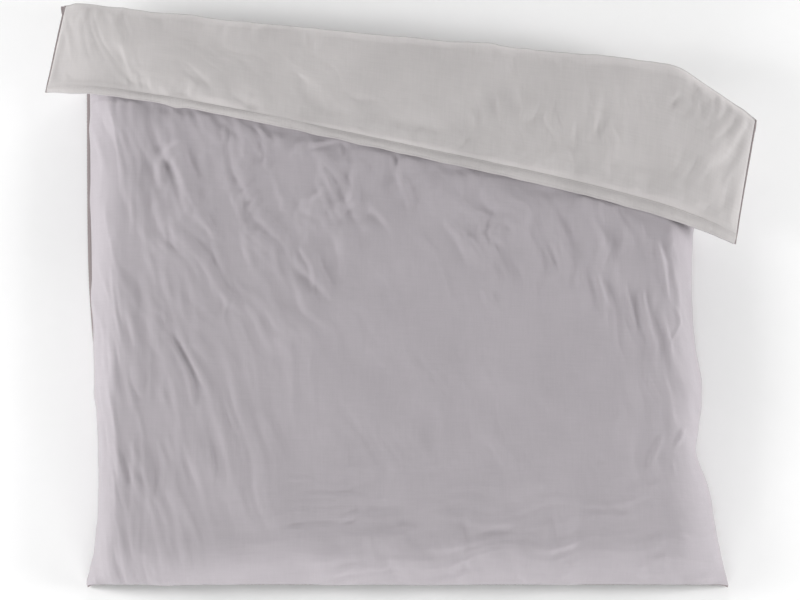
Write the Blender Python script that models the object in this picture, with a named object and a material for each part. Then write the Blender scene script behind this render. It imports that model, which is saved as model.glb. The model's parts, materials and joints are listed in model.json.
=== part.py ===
"""A square duvet in its cover, lying on a bed with the head end turned back.

Metres, +X right, +Y to the head, +Z up.
Two padded layers are built. The main layer lies on the mattress and hangs over its sides and foot.
The flap is the turned-back head end, hinged to the main layer along the fold.
Each layer is a stack: cover face, ticking, filled boxes with their walls, ticking, cover reverse.
"""

import math
from bisect import bisect_right

import bmesh
import bpy
from mathutils import Matrix, Vector

# The flat duvet, and how far each part of it reaches
HALF_WIDTH = 1.0  # of the flat duvet
TOP_HALF = 0.765  # of the flat top, to where the sides turn down
SIDE_DROP = 0.17
FOOT_REACH = 0.13  # how far the foot's turn-down reaches, seen from above
FOOT_DROP = 0.12
FOOT_ARC = 0.196  # cloth in the foot's turn-down
FOLD_Y = 1.552  # the fold's distance from the foot, on the centre line
FOLD_TILT = math.radians(5.6)  # the fold runs down to the right
MAIN_LENGTH = FOOT_ARC + FOLD_Y - FOOT_REACH
FLAP_DEPTH = 0.335
HEM_WIDTH = 0.027

# Reach of the sides from the centre line: at the foot's corner, along the body and at the fold
LEFT_REACH = {"corner": 0.878, "foot": 0.848, "body": 0.884, "fold": 0.935}
RIGHT_REACH = {"corner": 0.957, "foot": 0.905, "body": 0.868, "fold": 1.026}
LEFT_RAMP, RIGHT_RAMP = 0.22, 0.32  # length over which a side falls from the fold's level
SLUMP_START, SLUMP_SLOPE, SLUMP_ROUND = 0.80, 0.60, 0.03  # the fold's right end slumps towards the foot

# The flap's hem, and how far its corners sag
HEM_LEFT, HEM_RIGHT = (-0.989, 1.398), (0.963, 0.963)
HEM_BOW = 0.045  # the hem bows towards the fold between its corners
FLAP_SAG_LEFT, FLAP_SAG_RIGHT = 0.035, 0.045
SAG_START = TOP_HALF + 0.02

# Thicknesses
MAIN_THICK, FLAP_THICK, EDGE_THICK, TIP_THICK = 0.041, 0.037, 0.012, 0.009
EDGE_TAPER = 0.13
CLOTH, TICKING, GAP = 0.0008, 0.0008, 0.0005
LAYER_GAP = 0.0003  # each layer's distance from the plane between them
TIP_GAP = 0.0004  # each layer's distance from the hinge axis
HEM_CLOTH = 0.0024  # a doubled hem
TURN_NEAR, TURN_FAR = 0.0008, 0.0016  # the fold's cloth, measured from the tips
TURN_SHARE = 0.9  # how much of the tips' thickness it covers
SEAM_OUT, SEAM_GAP = 0.0050, 0.0009
TIP_INSET = 0.003  # from the cover's tip to the insert's
BORDER = 0.015  # from the insert's edge to the cover's seam
WALL_HALF, BOX_HALF = 0.0005, 0.0009  # half a box wall, and half the space that it takes

SIDE_TURN, FOOT_TURN = math.radians(80), math.radians(58)  # the slopes that the hanging edges reach
COLUMN_SEAMS = [-TOP_HALF, -0.255, 0.255, TOP_HALF]
ROW_SEAMS = [FOOT_ARC, FOOT_ARC + 0.475, FOOT_ARC + 0.95]
STUD_RADIUS, STUD_THICK, STUD_GAP = 0.006, 0.0018, 0.0004
STUD_PLACES = [-0.75, -0.45, -0.15, 0.15, 0.45, 0.75]
TIE_HALF = 0.001
FOOT_TIE, HEAD_TIE = (0.03, 0.06), (0.24, 0.27)  # where the ties sit along their layers

COLOURS = {
    "face_cloth": (0.40, 0.37, 0.41, 0.85),
    "reverse_cloth": (0.46, 0.44, 0.43, 0.85),
    "seam_cloth": (0.30, 0.27, 0.28, 0.90),
    "ticking": (0.80, 0.80, 0.78, 0.90),
    "filling": (0.86, 0.86, 0.84, 1.00),
    "stud": (0.70, 0.70, 0.68, 0.40),
    "tape": (0.74, 0.73, 0.71, 0.90),
}


def clear_scene():
    for ob in list(bpy.data.objects):
        bpy.data.objects.remove(ob)


def material(name):
    found = bpy.data.materials.get(name)
    if found:
        return found
    red, green, blue, rough = COLOURS[name]
    made = bpy.data.materials.new(name)
    made.use_nodes = True
    shader = made.node_tree.nodes["Principled BSDF"]
    shader.inputs["Base Color"].default_value = (red, green, blue, 1)
    shader.inputs["Roughness"].default_value = rough
    shader.inputs["Metallic"].default_value = 0
    return made


def ease(share):
    share = min(1.0, max(0.0, share))
    return share * share * (3 - 2 * share)


def mix(a, b, share):
    return a + (b - a) * share


# ---- the outer surfaces


def fold_reach(u):
    """X of the fold at the cloth's place u across."""
    if abs(u) <= TOP_HALF:
        return u
    end = RIGHT_REACH["fold"] if u > 0 else LEFT_REACH["fold"]
    share = (abs(u) - TOP_HALF) / (HALF_WIDTH - TOP_HALF)
    return math.copysign(mix(TOP_HALF, end, share), u)


def axis_y(x):
    return FOLD_Y - x * math.tan(FOLD_TILT)


def fold_y(x):
    """The fold follows the axis, then slumps at its right end."""
    past = x - SLUMP_START
    return axis_y(x) - SLUMP_SLOPE * (past + math.hypot(past, SLUMP_ROUND)) / 2


def side_reach(y, reach):
    """Reach of a hanging side at y from the foot."""
    low = mix(reach["corner"], reach["foot"], ease(y / 0.2))
    return mix(low, reach["body"], ease((y - 0.2) / 0.9))


def main_point(u, v):
    """The main layer's top: u across the cloth and v along it from the foot's edge."""
    end_y = fold_y(fold_reach(u))
    if v < FOOT_ARC:
        turn = FOOT_TURN * (1 - v / FOOT_ARC)
        y = FOOT_REACH * (1 - math.sin(turn) / math.sin(FOOT_TURN))
        foot_fall = FOOT_DROP * (1 - math.cos(turn)) / (1 - math.cos(FOOT_TURN))
    else:
        y = mix(FOOT_REACH, end_y, (v - FOOT_ARC) / (MAIN_LENGTH - FOOT_ARC))
        foot_fall = 0
    if abs(u) <= TOP_HALF:
        return Vector((u, y, -foot_fall))
    reach, ramp = (RIGHT_REACH, RIGHT_RAMP) if u > 0 else (LEFT_REACH, LEFT_RAMP)
    fallen = ease((end_y - y) / ramp)
    share = (abs(u) - TOP_HALF) / (HALF_WIDTH - TOP_HALF)
    turn = SIDE_TURN * share
    hanging = TOP_HALF + (side_reach(y, reach) - TOP_HALF) * math.sin(turn) / math.sin(SIDE_TURN)
    x = mix(abs(fold_reach(u)), hanging, fallen)
    fall = SIDE_DROP * fallen * (1 - math.cos(turn)) / (1 - math.cos(SIDE_TURN))
    return Vector((math.copysign(x, u), y, -fall - foot_fall * (1 - fall / SIDE_DROP)))


def flap_point(u, w):
    """The flap's underside: u across the cloth and w from the fold to the hem."""
    x = fold_reach(u)
    fold = Vector((x, fold_y(x), 0))
    share = (u + HALF_WIDTH) / (2 * HALF_WIDTH)
    hem = Vector((*HEM_LEFT, 0)).lerp(Vector((*HEM_RIGHT, 0)), share)
    hem.y += HEM_BOW * (1 - abs(2 * share - 1) ** 4)
    down = w / FLAP_DEPTH
    place = fold.lerp(hem, down)
    sag = FLAP_SAG_RIGHT if u > 0 else FLAP_SAG_LEFT
    past = max(0.0, abs(place.x) - SAG_START) / (HALF_WIDTH - SAG_START)
    return place - Vector((0, 0, sag * past**2 * ease(down)))


def rounded_tip(r, thick):
    """Thickness at r from the fold, where a layer ends in a quarter round."""
    if r >= thick:
        return thick
    return max(TIP_THICK, math.sqrt(thick**2 - (thick - r) ** 2))


def rise(distance):
    return math.sin(math.pi / 2 * min(1.0, max(0.0, distance) / EDGE_TAPER))


def main_thick(u, v):
    full = mix(EDGE_THICK, MAIN_THICK, rise(HALF_WIDTH - abs(u)) * rise(v))
    return rounded_tip(MAIN_LENGTH - v, full)


def flap_thick(u, w):
    full = mix(EDGE_THICK, FLAP_THICK, rise(HALF_WIDTH - abs(u)) * rise(FLAP_DEPTH - HEM_WIDTH - w))
    return rounded_tip(w, full)


def below_face(distance):
    """A depth in a layer, measured from its face side."""
    return lambda thick: distance


def above_reverse(distance):
    """A depth in a layer, measured back from its reverse side."""
    return lambda thick: thick - distance


def from_middle(distance):
    return lambda thick: thick / 2 + distance


FACE, REVERSE = below_face(0.0), above_reverse(0.0)


class Layer:
    """A padded layer on a grid: its face side, its normals and its thickness.

    Depth goes from the face side to the reverse side.
    """

    def __init__(self, point, thick, us, vs, direction, level):
        self.us, self.vs = us, vs
        self.rows, self.insides = [], []
        step = 0.0005
        for u in us:
            row, inside = [], []
            for v in vs:
                across = point(min(u + step, us[-1]), v) - point(max(u - step, us[0]), v)
                along = point(u, min(v + step, vs[-1])) - point(u, max(v - step, vs[0]))
                normal = across.cross(along).normalized()
                if normal.z < 0:
                    normal.negate()
                row.append(point(u, v) + Vector((0, 0, level)))
                inside.append((normal * direction, thick(u, v)))
            self.rows.append(row)
            self.insides.append(inside)

    def corner(self, i, j, depth):
        normal, thick = self.insides[i][j]
        return self.rows[i][j] + normal * depth(thick)

    def at(self, u, v, depth):
        """The point at u, v and a depth, flat between the grid's lines."""
        i = min(max(bisect_right(self.us, u) - 1, 0), len(self.us) - 2)
        j = min(max(bisect_right(self.vs, v) - 1, 0), len(self.vs) - 2)
        across = (u - self.us[i]) / (self.us[i + 1] - self.us[i])
        along = (v - self.vs[j]) / (self.vs[j + 1] - self.vs[j])
        near = self.corner(i, j, depth).lerp(self.corner(i + 1, j, depth), across)
        far = self.corner(i, j + 1, depth).lerp(self.corner(i + 1, j + 1, depth), across)
        return near.lerp(far, along)


# ---- building solids from a layer


def add_object(name, bm, look, body):
    bmesh.ops.recalc_face_normals(bm, faces=bm.faces)
    mesh = bpy.data.meshes.new(name)
    bm.to_mesh(mesh)
    bm.free()
    mesh.materials.append(material(look))
    ob = bpy.data.objects.new(name, mesh)
    bpy.context.scene.collection.objects.link(ob)
    ob.parent = body
    return ob


def between(lines, low, high):
    """The grid's lines from low to high, with both ends."""
    return [low, *(x for x in lines if low + 1e-6 < x < high - 1e-6), high]


def slab(name, layer, us, vs, near, far, look, body, keep=lambda u, v: True):
    """A closed solid between two depths of a layer, over the cells whose middle keep() takes."""
    bm = bmesh.new()
    sides = []
    for depth in (near, far):
        grid = {}
        for i, u in enumerate(us):
            for j, v in enumerate(vs):
                grid[i, j] = bm.verts.new(body.to_body @ layer.at(u, v, depth))
        sides.append(grid)
    kept = {
        (i, j)
        for i in range(len(us) - 1)
        for j in range(len(vs) - 1)
        if keep((us[i] + us[i + 1]) / 2, (vs[j] + vs[j + 1]) / 2)
    }
    for i, j in sorted(kept):
        for grid in sides:
            bm.faces.new((grid[i, j], grid[i + 1, j], grid[i + 1, j + 1]))
            bm.faces.new((grid[i, j], grid[i + 1, j + 1], grid[i, j + 1]))
        edges = {
            (i - 1, j): ((i, j), (i, j + 1)),
            (i + 1, j): ((i + 1, j), (i + 1, j + 1)),
            (i, j - 1): ((i, j), (i + 1, j)),
            (i, j + 1): ((i, j + 1), (i + 1, j + 1)),
        }
        for neighbour, (a, b) in edges.items():
            if neighbour not in kept:
                bm.faces.new((sides[0][a], sides[0][b], sides[1][b], sides[1][a]))
    bmesh.ops.delete(bm, geom=[v for v in bm.verts if not v.link_faces], context="VERTS")
    return add_object(name, bm, look, body.empty)


def rail(name, sections, look, body):
    """A closed solid through four-cornered sections."""
    bm = bmesh.new()
    rings = [[bm.verts.new(body.to_body @ p) for p in section] for section in sections]
    for a, b in zip(rings, rings[1:]):
        for k in range(4):
            bm.faces.new((a[k], a[(k + 1) % 4], b[(k + 1) % 4], b[k]))
    bm.faces.new(rings[0])
    bm.faces.new(rings[-1][::-1])
    return add_object(name, bm, look, body.empty)


def edge_sections(layer, places, inward):
    """Sections of a seam along a layer's edge. inward gives a place's neighbour inside the edge."""
    made = []
    for u, v in places:
        inner = inward(u, v)
        corners = []
        away = (layer.at(u, v, FACE) - layer.at(*inner, FACE)).normalized()
        for depth, out in ((FACE, SEAM_GAP), (FACE, SEAM_OUT), (REVERSE, SEAM_OUT), (REVERSE, SEAM_GAP)):
            corners.append(layer.at(u, v, depth) + away * out)
        made.append(corners)
    return made


class Body:
    """An empty that a body's objects hang from, and the way into its space."""

    def __init__(self, name, place, parent=None):
        self.empty = bpy.data.objects.new(name, None)
        bpy.context.scene.collection.objects.link(self.empty)
        self.empty.location = place
        self.empty.parent = parent
        self.to_body = Matrix.Translation(-Vector(place) if parent else Vector((0, 0, 0)))


# ---- the sub-parts


def cover_and_ticking(layer, body, end, cover_span, insert_span):
    """The four cloths of a layer, over the lengths that the cover and the insert have in it."""
    us, vs = layer.us, between(layer.vs, *cover_span)
    slab(f"cover_face_{end}", layer, us, vs, FACE, below_face(CLOTH), "face_cloth", body)
    slab(f"cover_reverse_{end}", layer, us, vs, above_reverse(CLOTH), REVERSE, "reverse_cloth", body)
    us = between(layer.us, -HALF_WIDTH + BORDER, HALF_WIDTH - BORDER)
    vs = between(layer.vs, *insert_span)
    near, far = CLOTH + GAP, CLOTH + GAP + TICKING
    slab(f"ticking_face_{end}", layer, us, vs, below_face(near), below_face(far), "ticking", body)
    slab(f"ticking_reverse_{end}", layer, us, vs, above_reverse(far), above_reverse(near), "ticking", body)


def near_any(x, places, half):
    return any(abs(x - place) < half for place in places)


def walls_and_boxes(layer, body, end, column_ends, row_ends, wall_rows):
    """The filled boxes of the insert, and the grid of walls between them as one piece."""
    start = CLOTH + TICKING + 2 * GAP
    near, far = below_face(start), above_reverse(start)
    wall_columns = column_ends[1:-1]

    def box_lines(lines, low, high, walls):
        return between(lines, low + BOX_HALF * (low in walls), high - BOX_HALF * (high in walls))

    def wall_lines(lines, low, high, walls):
        split = [x + side for x in walls for side in (-WALL_HALF, WALL_HALF)]
        return between(sorted([*split, *({*lines} - {*walls})]), low, high + WALL_HALF * (high in walls))

    for row, (low, high) in enumerate(zip(row_ends, row_ends[1:])):
        for column, (left, right) in enumerate(zip(column_ends, column_ends[1:])):
            us = box_lines(layer.us, left, right, wall_columns)
            vs = box_lines(layer.vs, low, high, wall_rows)
            slab(f"fill_box_{end}_{row + 1}_{column + 1}", layer, us, vs, near, far, "filling", body)
    us = wall_lines(layer.us, column_ends[0], column_ends[-1], wall_columns)
    vs = wall_lines(layer.vs, row_ends[0], row_ends[-1], wall_rows)

    def in_wall(u, v):
        return near_any(u, wall_columns, WALL_HALF) or near_any(v, wall_rows, WALL_HALF)

    slab(f"box_walls_{end}", layer, us, vs, near, far, "ticking", body, in_wall)


def side_seams(layer, body, end, vs):
    for side, u in (("left", -HALF_WIDTH), ("right", HALF_WIDTH)):
        inner = math.copysign(HALF_WIDTH - 0.01, u)
        sections = edge_sections(layer, [(u, v) for v in vs], lambda u, v, inner=inner: (inner, v))
        rail(f"side_seam_{end}_{side}", sections, "seam_cloth", body)


def corner_ties(layer, body, end, low, high):
    """Tapes that tie the insert's corners to the cover's seams."""
    for side, sign in (("left", -1), ("right", 1)):
        ends = sorted((sign * (HALF_WIDTH - BORDER + 0.001), sign * (HALF_WIDTH - 0.001)))
        us, vs = between(layer.us, *ends), between(layer.vs, low, high)
        near, far = from_middle(-TIE_HALF), from_middle(TIE_HALF)
        slab(f"corner_tie_{end}_{side}", layer, us, vs, near, far, "tape", body)


def stud(name, layer, u, depth, body):
    """Half of a press stud: a disc at that depth in the hem."""
    bm = bmesh.new()
    bmesh.ops.create_cone(
        bm, cap_ends=True, segments=16, radius1=STUD_RADIUS, radius2=STUD_RADIUS * 0.8, depth=STUD_THICK
    )
    ob = add_object(name, bm, "stud", body.empty)
    w = FLAP_DEPTH - HEM_WIDTH / 2
    place = layer.at(u, w, below_face(depth))
    normal = layer.at(u, w, below_face(depth + 0.001)) - place
    ob.location = body.to_body @ place
    ob.rotation_euler = normal.to_track_quat("Z", "Y").to_euler()
    return ob


def columns_of_grid():
    """The grid's lines across the cloth: closer where the sides turn down, and one at the insert's edge."""
    side = [mix(TOP_HALF, HALF_WIDTH - BORDER, k / 5) for k in range(1, 6)] + [HALF_WIDTH]
    return sorted({*(-x for x in side), *COLUMN_SEAMS, 0.0, *side})


def main_layer(body):
    arc = [0.0, *(mix(BORDER, FOOT_ARC, k / 4) for k in range(4))]
    flat = [(a + b) / 2 for a, b in zip(ROW_SEAMS, ROW_SEAMS[1:])]
    ramp = [MAIN_LENGTH - RIGHT_RAMP * k / 6 for k in range(1, 7)]
    tip = [MAIN_LENGTH - r for r in (MAIN_THICK, 0.024, 0.011, TIP_INSET, 0.0)]
    vs = sorted({*arc, *ROW_SEAMS, *flat, *ramp, *tip})
    us = columns_of_grid()
    layer = Layer(main_point, main_thick, us, vs, -1, -LAYER_GAP)
    insert_end = MAIN_LENGTH - TIP_INSET
    cover_and_ticking(layer, body, "main", (0.0, MAIN_LENGTH), (BORDER, insert_end))
    columns = [-HALF_WIDTH + BORDER, *COLUMN_SEAMS, HALF_WIDTH - BORDER]
    rows = [BORDER, *ROW_SEAMS, insert_end]
    walls_and_boxes(layer, body, "main", columns, rows, ROW_SEAMS)
    side_seams(layer, body, "main", vs)
    across = between(us, -HALF_WIDTH + 0.004, HALF_WIDTH - 0.004)
    sections = edge_sections(layer, [(u, 0.0) for u in across], lambda u, v: (u, 0.01))
    rail("foot_seam", sections, "seam_cloth", body)
    corner_ties(layer, body, "foot", *FOOT_TIE)
    return layer


def flap_layer(body):
    fill_end = FLAP_DEPTH - HEM_WIDTH
    tip = [0.0, TIP_INSET, 0.011, 0.024, FLAP_THICK]
    flat = [mix(FLAP_THICK, fill_end, k / 4) for k in range(1, 4)]
    vs = [*tip, *flat, fill_end - 0.002, fill_end, fill_end + 0.0005, FLAP_DEPTH]
    us = columns_of_grid()
    layer = Layer(flap_point, flap_thick, us, vs, 1, LAYER_GAP)
    cover_and_ticking(layer, body, "flap", (0.0, fill_end), (TIP_INSET, fill_end - 0.002))
    columns = [-HALF_WIDTH + BORDER, *COLUMN_SEAMS, HALF_WIDTH - BORDER]
    end_wall = fill_end - 0.0045
    walls_and_boxes(layer, body, "flap", columns, [TIP_INSET, end_wall], [end_wall])
    side_seams(layer, body, "flap", [v for v in vs if v <= fill_end])
    corner_ties(layer, body, "head", *HEAD_TIE)
    hem_vs = [fill_end + 0.0005, FLAP_DEPTH]
    slab("hem_face", layer, us, hem_vs, FACE, below_face(HEM_CLOTH), "face_cloth", body)
    slab("hem_reverse", layer, us, hem_vs, above_reverse(HEM_CLOTH), REVERSE, "reverse_cloth", body)
    for number, u in enumerate(STUD_PLACES):
        stud(f"stud_socket_{number + 1}", layer, u, HEM_CLOTH + STUD_GAP + STUD_THICK / 2, body)
        stud(f"stud_cap_{number + 1}", layer, u, HEM_CLOTH + 2 * STUD_GAP + STUD_THICK * 1.5, body)
    return layer


def fold_turn(layer, body):
    """The cover's cloth round the outside of the fold, as a narrow band over both layers' tips."""
    sections = []
    for u in layer.us:
        tip, inner = layer.at(u, MAIN_LENGTH, FACE), layer.at(u, MAIN_LENGTH - 0.01, FACE)
        away = (tip - inner).normalized()
        half = Vector((0, 0, TIP_THICK * TURN_SHARE))
        tip.z = 0
        near, far = tip + away * TURN_NEAR, tip + away * TURN_FAR
        sections.append([near - half, far - half, far + half, near + half])
    rail("cover_fold_turn", sections, "reverse_cloth", body)


def stand_on_ground(root):
    """Moves the whole duvet so that its box is centred over the origin and stands on Z 0."""
    bpy.context.view_layer.update()
    solids = [ob for ob in bpy.data.objects if ob.type == "MESH"]
    corners = [ob.matrix_world @ v.co for ob in solids for v in ob.data.vertices]
    low = Vector(min(c[k] for c in corners) for k in range(3))
    high = Vector(max(c[k] for c in corners) for k in range(3))
    root.location = (-(low.x + high.x) / 2, -(low.y + high.y) / 2, -low.z)


clear_scene()
main_body = Body("duvet_main", (0, 0, 0))
flap_body = Body("turn_back_axis", (0, FOLD_Y + TIP_GAP, 0), main_body.empty)
main = main_layer(main_body)
flap = flap_layer(flap_body)
fold_turn(main, main_body)
stand_on_ground(main_body.empty)
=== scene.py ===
"""The looks of a square duvet in its cover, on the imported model's frame. Metres.

Surfaces are grids of points in the duvet's own space: X from its centre line, Y from its foot and Z from the
fold's axis. u goes across the cloth, v along the main layer from its foot, w along the flap from the fold.
"""

import json
import math

import bpy
import numpy as np
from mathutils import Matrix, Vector


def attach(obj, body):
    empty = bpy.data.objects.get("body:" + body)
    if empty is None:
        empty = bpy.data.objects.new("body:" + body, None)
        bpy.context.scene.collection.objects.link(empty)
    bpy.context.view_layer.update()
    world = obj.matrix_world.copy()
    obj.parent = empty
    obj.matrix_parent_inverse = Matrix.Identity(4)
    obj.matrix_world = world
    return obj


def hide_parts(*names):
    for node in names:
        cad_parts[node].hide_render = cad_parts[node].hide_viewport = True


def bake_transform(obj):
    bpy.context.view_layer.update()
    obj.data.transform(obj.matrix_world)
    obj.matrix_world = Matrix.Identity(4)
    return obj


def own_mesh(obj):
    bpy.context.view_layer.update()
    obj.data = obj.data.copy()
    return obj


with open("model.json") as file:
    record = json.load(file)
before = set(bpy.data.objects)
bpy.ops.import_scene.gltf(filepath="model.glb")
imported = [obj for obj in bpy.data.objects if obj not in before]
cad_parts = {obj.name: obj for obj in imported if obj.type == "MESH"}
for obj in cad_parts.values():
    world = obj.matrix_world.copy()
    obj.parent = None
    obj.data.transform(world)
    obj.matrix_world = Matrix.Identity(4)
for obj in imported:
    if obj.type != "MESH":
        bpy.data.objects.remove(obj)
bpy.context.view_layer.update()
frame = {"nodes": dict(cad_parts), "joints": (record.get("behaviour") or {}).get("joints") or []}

# ---- the duvet's size, as in the CAD

HALF_WIDTH, TOP_HALF = 1.0, 0.765
SIDE_DROP, SIDE_TURN = 0.17, math.radians(80)
FOOT_REACH, FOOT_DROP, FOOT_ARC, FOOT_TURN = 0.13, 0.12, 0.196, math.radians(58)
FOLD_Y, FOLD_TILT = 1.552, math.radians(5.6)
MAIN_LENGTH = FOOT_ARC + FOLD_Y - FOOT_REACH
FLAP_DEPTH, HEM_WIDTH, HEM_BOW = 0.335, 0.027, 0.045
FILL_END = FLAP_DEPTH - HEM_WIDTH
FOLD_LEFT, FOLD_RIGHT = 0.935, 1.026
LEFT_RAMP, RIGHT_RAMP = 0.22, 0.32
SLUMP_START, SLUMP_SLOPE, SLUMP_ROUND = 0.80, 0.60, 0.03
HEM_LEFT, HEM_RIGHT = np.array((-0.989, 1.398, 0)), np.array((0.963, 0.963, 0))
SAG_LEFT, SAG_RIGHT, SAG_START = 0.035, 0.045, TOP_HALF + 0.02
MAIN_THICK, FLAP_THICK, EDGE_THICK, TIP_THICK = 0.041, 0.037, 0.012, 0.009
EDGE_TAPER, LAYER_GAP, TIP_GAP = 0.13, 0.0003, 0.0004
COLUMN_SEAMS = (-TOP_HALF, -0.255, 0.255, TOP_HALF)
ROW_SEAMS = (FOOT_ARC, FOOT_ARC + 0.475, FOOT_ARC + 0.95)

JOINT = frame["joints"][0]
AXIS_POINT = np.array(JOINT["pos_m"])
ORIGIN = AXIS_POINT - np.array((0, FOLD_Y + TIP_GAP, 0))

# The hanging sides seen from above: distance from the foot, and reach from the centre line
LEFT_SIDE = ((0, 0.878), (0.11, 0.857), (0.25, 0.847), (0.60, 0.862), (0.97, 0.877), (1.45, 0.886))
RIGHT_SIDE = (
    (0, 0.957), (0.12, 0.930), (0.29, 0.899), (0.38, 0.867), (0.46, 0.876), (0.55, 0.887),
    (0.68, 0.871), (0.80, 0.863), (1.00, 0.866), (1.30, 0.880),
)

# ---- small helpers


def ease(share):
    """0 to 1 as share goes from 0 to 1, slow at both ends."""
    share = np.clip(share, 0, 1)
    return share * share * (3 - 2 * share)


def mix(a, b, share):
    return a + (b - a) * share


def smooth_through(knots, x):
    """A smooth curve through (x, value) knots."""
    xs, values = np.array(knots, float).T
    slopes = np.gradient(values, xs)
    i = np.clip(np.searchsorted(xs, x) - 1, 0, len(xs) - 2)
    width = xs[i + 1] - xs[i]
    t = np.clip((x - xs[i]) / width, 0, 1)
    rise, fall = t * t * (3 - 2 * t), t * (1 - t) ** 2
    end = t * t * (t - 1)
    return values[i] * (1 - rise) + values[i + 1] * rise + width * (slopes[i] * fall + slopes[i + 1] * end)


def noise(x, y, seed):
    """Smooth random values from about -1 to 1, with one bump to a unit."""
    angles = np.random.default_rng(seed).uniform(0, 2 * math.pi, (64, 64))
    i, j = np.floor(x).astype(int), np.floor(y).astype(int)
    fx, fy = x - i, y - j

    def corner(a, b):
        angle = angles[(i + a) % 64, (j + b) % 64]
        return np.cos(angle) * (fx - a) + np.sin(angle) * (fy - b)

    low = mix(corner(0, 0), corner(1, 0), ease(fx))
    high = mix(corner(0, 1), corner(1, 1), ease(fx))
    return 1.5 * mix(low, high, ease(fy))


def spot(x, y, centre, across, along, turn=0.0):
    """1 at centre, fading to 0 over an ellipse. turn is in degrees from +X."""
    c, s = math.cos(math.radians(turn)), math.sin(math.radians(turn))
    dx, dy = x - centre[0], y - centre[1]
    return np.exp(-(((dx * c + dy * s) / across) ** 2) - ((dy * c - dx * s) / along) ** 2)


def line_through(points, count=20):
    """A smooth line through given points."""
    points = np.array(points, float)
    if len(points) == 2:
        return np.linspace(*points, count)
    t = np.arange(len(points))
    fine = np.linspace(0, len(points) - 1, count)
    return np.stack([smooth_through(np.stack([t, points[:, k]], 1), fine) for k in (0, 1)], 1)


def near_line(x, y, line, margin):
    """For the places within margin of line's box: their indices, signed distance, and share along it."""
    low, high = line.min(0) - margin, line.max(0) + margin
    near = np.nonzero((x > low[0]) & (x < high[0]) & (y > low[1]) & (y < high[1]))
    p = np.stack([x[near], y[near]], 1)
    best = np.full(len(p), 1e9)
    side, share = np.zeros(len(p)), np.zeros(len(p))
    for k, (a, b) in enumerate(zip(line, line[1:])):
        d = b - a
        t = np.clip((p - a) @ d / (d @ d), 0, 1)
        off = p - a - t[:, None] * d
        far = np.hypot(*off.T)
        closer = far < best
        best = np.where(closer, far, best)
        side = np.where(closer, np.sign(d[0] * off[:, 1] - d[1] * off[:, 0]), side)
        share = np.where(closer, (k + t) / (len(line) - 1), share)
    return near, best * side, share


STRENGTH = 2.0  # of every ridge and crease


class Wrinkles:
    """Heights over places x, y, added up from ridges, creases and gathers."""

    def __init__(self, x, y):
        self.x, self.y = x, y
        self.height = np.zeros_like(x)

    def ridge(self, points, width, height, dip=0.0, swell=0.6):
        """A ridge along a line, with a dip to the left of the way it runs (dip above 0) or to the right."""
        near, off, share = near_line(self.x, self.y, line_through(points), 4 * width)
        taper = np.sin(math.pi * np.clip(share, 0.02, 0.98)) ** swell
        wide = width * (0.6 + 0.4 * taper)
        crest = np.exp(-((off / wide) ** 2))
        hollow = np.exp(-(((off - math.copysign(1.7, dip) * wide) / (1.3 * wide)) ** 2)) if dip else 0
        self.height[near] += STRENGTH * height * taper * (crest - abs(dip) * hollow)

    def crease(self, points, width, depth):
        self.ridge(points, width, -depth)

    def gathers(self, seed, mask, turn, pitch, length, height, bend=0.35):
        """Long soft waves side by side. turn is their direction in degrees from +X."""
        c, s = math.cos(math.radians(turn)), math.sin(math.radians(turn))
        along, across = self.x * c + self.y * s, self.y * c - self.x * s
        across = across + pitch * bend * 2 * noise(along / (length * 0.8), across / (pitch * 3), seed + 1)
        wave = noise(across / pitch, along / length, seed)
        fine = noise(across / (pitch * 0.45), along / (length * 0.6), seed + 2)
        sharp = np.sign(wave) * np.abs(wave) ** 0.8
        self.height += STRENGTH * height * mask * (sharp + 0.5 * fine)


# ---- the outer surfaces


def fold_reach(u):
    """X of the fold at u."""
    end = np.where(u > 0, FOLD_RIGHT, FOLD_LEFT)
    share = np.clip(np.abs(u) - TOP_HALF, 0, 1) / (HALF_WIDTH - TOP_HALF)
    return np.where(np.abs(u) <= TOP_HALF, u, np.copysign(mix(TOP_HALF, end, share), u))


def axis_y(x):
    return FOLD_Y - x * math.tan(FOLD_TILT)


def fold_y(x):
    """Y of the fold, which slumps off the axis at its right end."""
    past = x - SLUMP_START
    return axis_y(x) - SLUMP_SLOPE * (past + np.hypot(past, SLUMP_ROUND)) / 2


def main_base(u, v):
    """The main layer's top: u across the cloth and v along it from the foot's edge."""
    end_y = fold_y(fold_reach(u))
    turn = FOOT_TURN * np.clip(1 - v / FOOT_ARC, 0, 1)
    foot_y = FOOT_REACH * (1 - np.sin(turn) / math.sin(FOOT_TURN))
    foot_fall = FOOT_DROP * (1 - np.cos(turn)) / (1 - math.cos(FOOT_TURN))
    flat_y = mix(FOOT_REACH, end_y, (v - FOOT_ARC) / (MAIN_LENGTH - FOOT_ARC))
    y = np.where(v < FOOT_ARC, foot_y, flat_y)
    ramp = np.where(u > 0, RIGHT_RAMP, LEFT_RAMP)
    reach = np.where(u > 0, smooth_through(RIGHT_SIDE, y), smooth_through(LEFT_SIDE, y))
    fallen = ease((end_y - y) / ramp)
    share = np.clip(np.abs(u) - TOP_HALF, 0, 1) / (HALF_WIDTH - TOP_HALF)
    turn = SIDE_TURN * share
    hanging = TOP_HALF + (reach - TOP_HALF) * np.sin(turn) / math.sin(SIDE_TURN)
    x = np.where(np.abs(u) <= TOP_HALF, np.abs(u), mix(np.abs(fold_reach(u)), hanging, fallen))
    fall = SIDE_DROP * fallen * (1 - np.cos(turn)) / (1 - math.cos(SIDE_TURN))
    z = -fall - foot_fall * (1 - fall / SIDE_DROP) - LAYER_GAP
    return np.stack([np.copysign(x, u), y, z], -1)


def hem_place(u):
    """Where the hem's edge is at u."""
    share = (u + HALF_WIDTH) / (2 * HALF_WIDTH)
    hem = mix(HEM_LEFT, HEM_RIGHT, share[..., None])
    hem[..., 1] += HEM_BOW * (1 - np.abs(2 * share - 1) ** 4)
    return hem


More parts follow.
